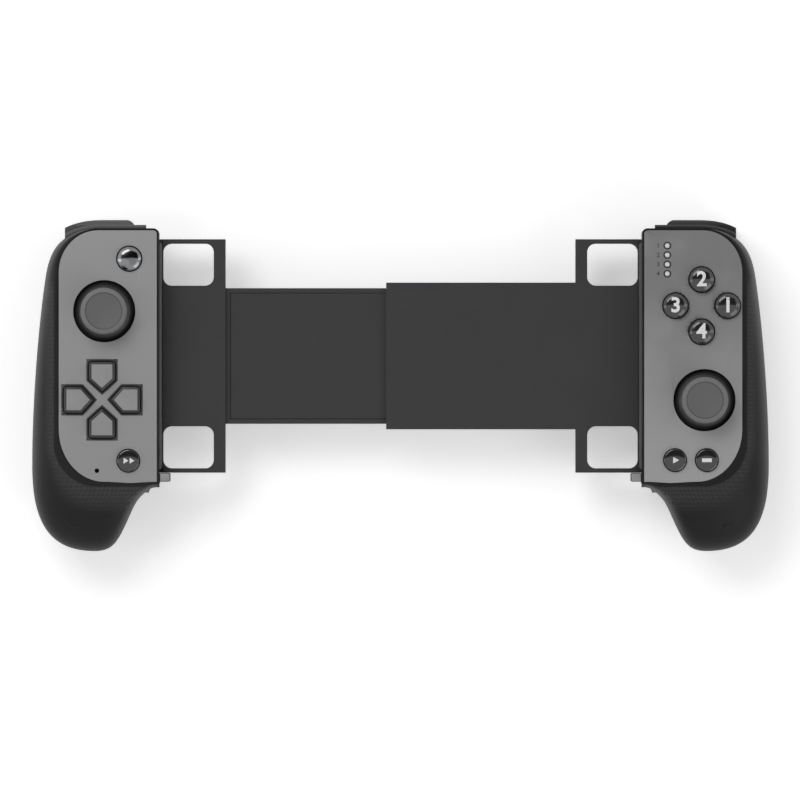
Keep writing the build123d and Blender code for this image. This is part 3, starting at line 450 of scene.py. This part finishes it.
def flat_cable_film():
    finish = Finish("flat_cable_film")
    wires = (finish.y * 2 * math.pi / 0.8).sin().rise(-0.2, 0.2)
    finish.set("Base Color", finish.blend(wires, (0.25, 0.11, 0.02), (0.55, 0.30, 0.09)))
    finish.set("Roughness", 0.35)
    return finish


def lamp_plastic():
    finish = Finish("lamp_plastic")
    haze = finish.noise(2500.0)
    finish.set("Base Color", finish.blend(haze, (0.80, 0.80, 0.79), (0.90, 0.90, 0.89)))
    finish.set("Roughness", 0.25)
    return finish


def printed_ink(name, tone):
    finish = Finish(name)
    speck = finish.noise(4000.0)
    thin = tuple(part * 0.93 for part in tone)
    finish.set("Base Color", finish.blend(speck.rise(0.35, 0.5), thin, tone))
    finish.set("Roughness", 0.45)
    return finish


finishes = {
    # One black plastic on both shells; the left is painted a little lighter and the right a
    # little darker, painted light and shade
    "left_shell": grip_plastic(
        "left_shell_plastic_painted_light", (0.012, 0.012, 0.0125), (0.15, 0.15, 0.152)
    ),
    "right_shell": grip_plastic(
        "right_shell_plastic_painted_shade", (0.010, 0.010, 0.0105), (0.13, 0.13, 0.132)
    ),
    # One black plastic on both shoulders; the left one's grey tone is painted light
    "left_shoulder": satin_plastic(
        "left_shoulder_plastic_painted_light", (0.085, 0.085, 0.087), 0.42, shine=0.3
    ),
    "right_shoulder": satin_plastic(
        "right_shoulder_plastic", (0.020, 0.020, 0.021), 0.38, shine=0.3
    ),
    # One grey paint on both panels; their different tones, the right one dark at the top and
    # light low down, are painted light and shade
    "left_panel": panel_paint(
        "left_panel_paint_and_shading", (0.320, 0.320, 0.323), (0.300, 0.300, 0.303), direction_key_surround
    ),
    "right_panel": panel_paint(
        "right_panel_paint_and_shading", (0.200, 0.200, 0.203), (0.360, 0.360, 0.363), lamp_rings
    ),
    "stop": stop_block_plastic(),
    "bridge": satin_plastic("bridge_plastic", (0.036, 0.036, 0.038), 0.45, 0.00002, 0.3),
    "pad": satin_plastic("pad_rubber", (0.075, 0.075, 0.077), 0.75, 0.00003),
    "inner": satin_plastic("inner_plastic", (0.02, 0.02, 0.021), 0.5),
    "mat": satin_plastic("mat_rubber", (0.30, 0.30, 0.31), 0.7),
    "battery": satin_plastic("battery_wrap", (0.45, 0.45, 0.46), 0.35),
    "direction_key": direction_key_plastic(),
    "left_stick": thumbstick_rubber("left"),
    "right_stick": thumbstick_rubber("right"),
    "gloss": gloss_key_plastic(),
    "plating": plated_key(),
    "steel": turned_steel("turned_steel", (0.42, 0.42, 0.43)),
    "screw": turned_steel("blackened_steel", (0.10, 0.10, 0.105)),
    "board": board_mask(),
    "cable": flat_cable_film(),
    "lamp": lamp_plastic(),
    "white_ink": printed_ink("white_ink", (0.86, 0.86, 0.85)),
    "dark_ink": printed_ink("dark_ink", (0.055, 0.055, 0.057)),
}


def finish_of(node):
    side = node.split("_")[0]
    if node.endswith(("front_shell", "rear_shell")):
        return finishes[f"{side}_shell"]
    if node.endswith("cradle_stop"):
        return finishes["stop"]
    if node.endswith("face_panel"):
        return finishes[f"{side}_panel"]
    if node.endswith("thumbstick"):
        return finishes[f"{side}_stick"]
    if node.endswith("_mat"):
        return finishes["mat"]
    if node.startswith("dpad_"):
        return finishes["direction_key"]
    if node.endswith(("bumper", "trigger")):
        return finishes[f"{side}_shoulder"]
    if node.endswith("screws"):
        return finishes["screw"]
    if node.endswith(("stick_module", "pin", "spring", "springs", "socket")):
        return finishes["steel"]
    if node.endswith("circuit_board"):
        return finishes["board"]
    if node.endswith("cradle_pad"):
        return finishes["pad"]
    if node.startswith(("slider_", "sleeve_")):
        return finishes["bridge"]
    if node == "home_button":
        return finishes["plating"]
    if node.startswith(("face_button", "turbo_button", "start_button", "select_button")):
        return finishes["gloss"]
    if node == "link_cable":
        return finishes["cable"]
    if node == "lamp_guide":
        return finishes["lamp"]
    if node == "battery":
        return finishes["battery"]
    return finishes["inner"]


# Mesh work

body_of = {}
for body, members in frame["record"]["behaviour"]["bodies"].items():
    for member in members:
        body_of[member] = body


def only(obj):
    """Leaves nothing but obj selected, and active."""
    bpy.ops.object.select_all(action="DESELECT")
    obj.select_set(True)
    bpy.context.view_layer.objects.active = obj


def apply_modifiers(obj):
    only(obj)
    for modifier in list(obj.modifiers):
        bpy.ops.object.modifier_apply(modifier=modifier.name)


def smooth_heel(shell):
    """Evens out the shell where the palm wall meets the round lower grip, but not at its rims."""
    heel = shell.vertex_groups.new(name="heel")
    for vertex in shell.data.vertices:
        x, y, z = vertex.co
        off_seam = abs(z - GIRTH_Z) - HEEL_RIM
        under_face = FACE_Z - HEEL_RIM - z
        room = min(HEEL_OUT_X - abs(x), HEEL_TOP_Y - y, off_seam, under_face)
        if room > 0:
            heel.add([vertex.index], min(room / HEEL_FADE, 1.0), "REPLACE")
    smoother = shell.modifiers.new("heel", "SMOOTH")
    smoother.vertex_group = heel.name
    smoother.factor = 0.5
    smoother.iterations = 20
    apply_modifiers(shell)


def dress(node, smooth_deg=32, edge=0.0):
    """A finished copy of a CAD node: merged, with softened edges and smooth shading."""
    source = frame["nodes"][node]
    bpy.ops.object.select_all(action="DESELECT")
    dressed = source.copy()
    dressed.data = source.data.copy()
    dressed.name = f"{node}_dressed"
    bpy.context.scene.collection.objects.link(dressed)
    dressed.parent = None
    only(dressed)
    bpy.ops.object.mode_set(mode="EDIT")
    bpy.ops.mesh.select_all(action="SELECT")
    bpy.ops.mesh.remove_doubles(threshold=MERGE_GAP)
    if edge:
        bpy.ops.mesh.dissolve_limited(angle_limit=math.radians(0.4))
    bpy.ops.object.mode_set(mode="OBJECT")
    if node.endswith(("front_shell", "rear_shell")):
        smooth_heel(dressed)
    if edge:
        bevel = dressed.modifiers.new("soft_edges", "BEVEL")
        bevel.width = edge
        bevel.segments = 2
        bevel.limit_method = "ANGLE"
        bevel.angle_limit = math.radians(40)
        bevel.use_clamp_overlap = True
        apply_modifiers(dressed)
    only(dressed)
    bpy.ops.object.shade_smooth_by_angle(angle=math.radians(smooth_deg))
    if edge or node.endswith("face_panel"):
        weighted = dressed.modifiers.new("flat_faces", "WEIGHTED_NORMAL")
        weighted.keep_sharp = True
        weighted.weight = 80
        apply_modifiers(dressed)
    dressed.data.materials.clear()
    dressed.data.materials.append(finish_of(node).material)
    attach(dressed, body_of[node])
    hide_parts(node)
    return dressed


soft_edged = {
    "slider_frame": 0.0004, "slider_lid": 0.0001, "sleeve_front": 0.0004, "sleeve_back": 0.0004,
}
for hand in ("left", "right"):
    soft_edged[f"{hand}_trigger"] = 0.0006
    soft_edged[f"{hand}_bumper"] = 0.0002
for key in ("up", "down", "left", "right"):
    soft_edged[f"dpad_{key}"] = 0.00012

outer_pieces = (
    "front_shell", "rear_shell", "face_panel", "cradle_pad", "cradle_stop", "thumbstick",
    "bumper", "trigger", "button", "socket", "lamp_guide",
)


def is_dressed(node):
    """Pieces that show, and those that close up with the bridge, get a dressed copy."""
    if node.endswith("_mat"):
        return False
    outside = node.endswith(outer_pieces) or node.startswith("face_button_")
    return outside or node in soft_edged or node in ("link_cable", "return_springs")


dressed_pieces = {}
for node, source in frame["nodes"].items():
    if is_dressed(node):
        dressed_pieces[node] = dress(node, edge=soft_edged.get(node, 0.0))
    else:
        source.data.materials.clear()
        source.data.materials.append(finish_of(node).material)


# The return springs and the flat cable get meshes of their own; the share of their length left as
# the grips come together is worked out
travel_in = next(
    -joint["range_m"][0]
    for joint in frame["record"]["behaviour"]["joints"]
    if joint["name"] == "bridge_slide"
)
for node in ("return_springs", "link_cable"):
    low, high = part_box(node)
    length = high.x - low.x
    shortest = (length - travel_in) / length
    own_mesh(dressed_pieces[node])


def settle(obj):
    """Puts the place of a new piece into its mesh."""
    only(obj)
    bpy.ops.object.transform_apply(location=True, rotation=True, scale=True)


def lay_onto(print_mesh, key):
    """Drops a flat print onto the dome of a key, as thick as a coat of ink."""
    wrap = print_mesh.modifiers.new("wrap", "SHRINKWRAP")
    wrap.target = key
    wrap.wrap_method = "PROJECT"
    wrap.use_project_z = True
    wrap.use_negative_direction = True
    wrap.use_positive_direction = False
    wrap.offset = INK_COAT
    apply_modifiers(print_mesh)


def joined(parts, name):
    """The parts as one object."""
    only(parts[0])
    for part in parts[1:]:
        part.select_set(True)
    if len(parts) > 1:
        bpy.ops.object.join()
    whole = bpy.context.object
    whole.name = name
    return whole


# Height of the built-in font's figures, as a share of its size
FIGURE_SHARE = 0.7


def printed_figure(name, text, x, y, z, height, body, ink, bold, onto=None):
    """A figure printed on the face; onto wraps it to the dome of a key."""
    bpy.ops.object.select_all(action="DESELECT")
    bpy.ops.object.text_add(location=(x, y, z))
    figure = bpy.context.object
    figure.name = name
    figure.data.body = text
    figure.data.align_x = "CENTER"
    figure.data.align_y = "CENTER"
    figure.data.size = height / FIGURE_SHARE
    figure.data.offset = bold
    figure.data.resolution_u = 6
    bpy.ops.object.convert(target="MESH")
    figure = bpy.context.object
    figure.name = name
    settle(figure)
    bpy.ops.object.mode_set(mode="EDIT")
    bpy.ops.mesh.select_all(action="SELECT")
    bpy.ops.mesh.quads_convert_to_tris()
    bpy.ops.mesh.remove_doubles(threshold=MERGE_GAP)
    if onto:
        bpy.ops.mesh.subdivide(number_cuts=3)
    bpy.ops.object.mode_set(mode="OBJECT")
    if onto:
        lay_onto(figure, onto)
    figure.data.materials.clear()
    figure.data.materials.append(ink.material)
    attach(figure, body)


# Figures on the four face keys, raised white on the domes
for number in range(1, 5):
    node = f"face_button_{number}"
    low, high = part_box(node)
    printed_figure(
        f"{node}_figure", str(number), (low.x + high.x) / 2, (low.y + high.y) / 2, high.z + MM,
        4.3 * MM, body_of[node], finishes["white_ink"], 0.00016, dressed_pieces[node],
    )

# Player numbers beside the lamps
for place in range(4):
    printed_figure(
        f"player_number_{place + 1}", str(place + 1), LAMP_X - 2.75 * MM,
        LAMP_TOP_Y - place * LAMP_PITCH, FACE_Z + 0.02 * MM, 1.35 * MM, "right_grip",
        finishes["dark_ink"], 0.00003,
    )


def key_mark(name, node, shapes):
    """A plain mark on a small round key: bars and arrowheads, wrapped to the key's top."""
    low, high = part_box(node)
    middle = ((low.x + high.x) / 2, (low.y + high.y) / 2)
    parts = []
    for corners, dx, width, height in shapes:
        bpy.ops.object.select_all(action="DESELECT")
        bpy.ops.mesh.primitive_circle_add(
            vertices=corners, radius=0.5, fill_type="NGON", location=(0, 0, 0)
        )
        part = bpy.context.object
        bpy.ops.object.mode_set(mode="EDIT")
        bpy.ops.mesh.select_all(action="SELECT")
        turn = -math.pi / 2 if corners == 3 else math.pi / 4
        bpy.ops.transform.rotate(value=-turn, orient_axis="Z", center_override=(0, 0, 0))
        stretch = 1.0 if corners == 3 else math.sqrt(2)
        bpy.ops.transform.resize(
            value=(width * stretch, height * stretch, 1), center_override=(0, 0, 0)
        )
        bpy.ops.transform.translate(value=(middle[0] + dx, middle[1], high.z + MM))
        bpy.ops.mesh.inset(thickness=0.00008)
        bpy.ops.mesh.select_all(action="SELECT")
        bpy.ops.mesh.quads_convert_to_tris()
        bpy.ops.mesh.subdivide(number_cuts=3)
        bpy.ops.object.mode_set(mode="OBJECT")
        parts.append(part)
    mark = joined(parts, name)
    lay_onto(mark, dressed_pieces[node])
    mark.data.materials.clear()
    mark.data.materials.append(finishes["white_ink"].material)
    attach(mark, body_of[node])


key_mark("start_mark", "start_button", [(3, 0.0, 2.4 * MM, 2.2 * MM)])
key_mark("select_mark", "select_button", [(4, 0.0, 2.9 * MM, 1.1 * MM)])
key_mark(
    "turbo_mark", "turbo_button", [(3, way * 0.9 * MM, 1.9 * MM, 2.0 * MM) for way in (-1, 1)]
)


def screw_crosses(hand, side):
    """The cross recesses of the four shell screws, as dark crosses on the heads: painted shade
    where the recesses would be.
    """
    parts = []
    long, short, thick = 2.0 * MM, 0.42 * MM, 0.06 * MM
    for x, y in SCREWS:
        for size in ((long, short, thick), (short, long, thick)):
            bpy.ops.object.select_all(action="DESELECT")
            bpy.ops.mesh.primitive_cube_add(size=1, location=(side * x, y, SCREW_FACE_Z))
            part = bpy.context.object
            bpy.ops.object.mode_set(mode="EDIT")
            bpy.ops.mesh.select_all(action="SELECT")
            bpy.ops.transform.resize(value=size, center_override=(side * x, y, SCREW_FACE_Z))
            bpy.ops.mesh.bevel(offset=0.1 * MM, segments=2, clamp_overlap=True)
            bpy.ops.object.mode_set(mode="OBJECT")
            parts.append(part)
    crosses = joined(parts, f"{hand}_screw_crosses")
    settle(crosses)
    crosses.data.materials.clear()
    crosses.data.materials.append(finishes["inner"].material)
    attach(crosses, f"{hand}_grip")


screw_crosses("left", -1)
screw_crosses("right", 1)


# Floor, light and camera

# Glow of the floor as it is seen, share of the world that lights, and framing in metres
FLOOR_LIFT = 0.42
LIT = 0.34
DISTANCE = 4.0
FRAME_WIDTH = 0.240
SENSOR_MM = 36.0


def floor_finish():
    """Pale matt floor, white to the camera, with the shadow kept."""
    finish = Finish("pale_floor")
    cloud = finish.noise(1.5)
    finish.set("Base Color", finish.blend(cloud, (0.93, 0.93, 0.93), (0.95, 0.95, 0.95)))
    finish.set("Roughness", 0.9)
    finish.set("Specular IOR Level", 0.0)
    finish.set("Emission Color", (1, 1, 1, 1))
    finish.set("Emission Strength", finish.seen() * FLOOR_LIFT)
    return finish


bpy.ops.object.select_all(action="DESELECT")
bpy.ops.mesh.primitive_plane_add(size=8, location=(0, 0, -0.00005))
floor = bpy.context.object
floor.name = "floor"
settle(floor)
floor.data.materials.append(floor_finish().material)

world = bpy.data.worlds.new("studio")
bpy.context.scene.world = world
world.use_nodes = True
studio = Shading(world.node_tree)
background = studio.tree.nodes["Background"]
studio.put(background.inputs["Color"], (1, 1, 1, 1))
studio.put(background.inputs["Strength"], studio.seen() * (1.0 - LIT) + LIT)


def dark_card(name, low, high, z):
    """A black card over the set that only reflections see, as photographers hang for gloss."""
    bpy.ops.object.select_all(action="DESELECT")
    middle = ((low[0] + high[0]) / 2, (low[1] + high[1]) / 2, z)
    bpy.ops.mesh.primitive_plane_add(size=1, location=middle)
    card = bpy.context.object
    card.name = name
    card.scale = (high[0] - low[0], high[1] - low[1], 1)
    settle(card)
    black = Finish(f"{name}_felt")
    nap = black.noise(40.0)
    black.set("Base Color", black.blend(nap, (0.004, 0.004, 0.004), (0.008, 0.008, 0.008)))
    black.set("Roughness", 1.0)
    card.data.materials.append(black.material)
    card.visible_camera = False
    card.visible_diffuse = False
    card.visible_shadow = False


dark_card("upper_card", (-0.8, 0.07), (0.8, 0.75), 0.9)


def softbox(name, place, aim, size, power):
    """A soft rectangular lamp at a place, aimed at a point of the controller."""
    bpy.ops.object.select_all(action="DESELECT")
    bpy.ops.object.light_add(type="AREA", location=place)
    lamp = bpy.context.object
    lamp.name = name
    lamp.data.shape = "RECTANGLE"
    lamp.data.size, lamp.data.size_y = size
    lamp.data.energy = power
    lamp.rotation_euler = (Vector(aim) - Vector(place)).to_track_quat("-Z", "Y").to_euler()


softbox("key_light", (-0.35, 0.55, 0.85), (0, 0, 0), (0.7, 0.5), 4.2)
softbox("fill_light", (0.6, -0.55, 0.6), (0, 0, 0), (0.6, 0.6), 1.6)
softbox("left_strip", (-0.65, -0.05, 0.25), (-0.1, 0, 0.02), (0.15, 0.7), 0.5)
softbox("right_strip", (0.65, 0.05, 0.25), (0.1, 0, 0.02), (0.15, 0.7), 0.35)

camera_data = bpy.data.cameras.new("camera")
camera = bpy.data.objects.new("camera", camera_data)
bpy.context.scene.collection.objects.link(camera)
camera_data.sensor_width = SENSOR_MM
camera_data.lens = SENSOR_MM * DISTANCE / FRAME_WIDTH
camera_data.clip_start = 0.1
camera_data.clip_end = 50.0
camera.location = (-0.00015, -0.00435, GIRTH_Z + DISTANCE)
bpy.context.scene.camera = camera
bpy.context.scene.view_settings.view_transform = "Standard"
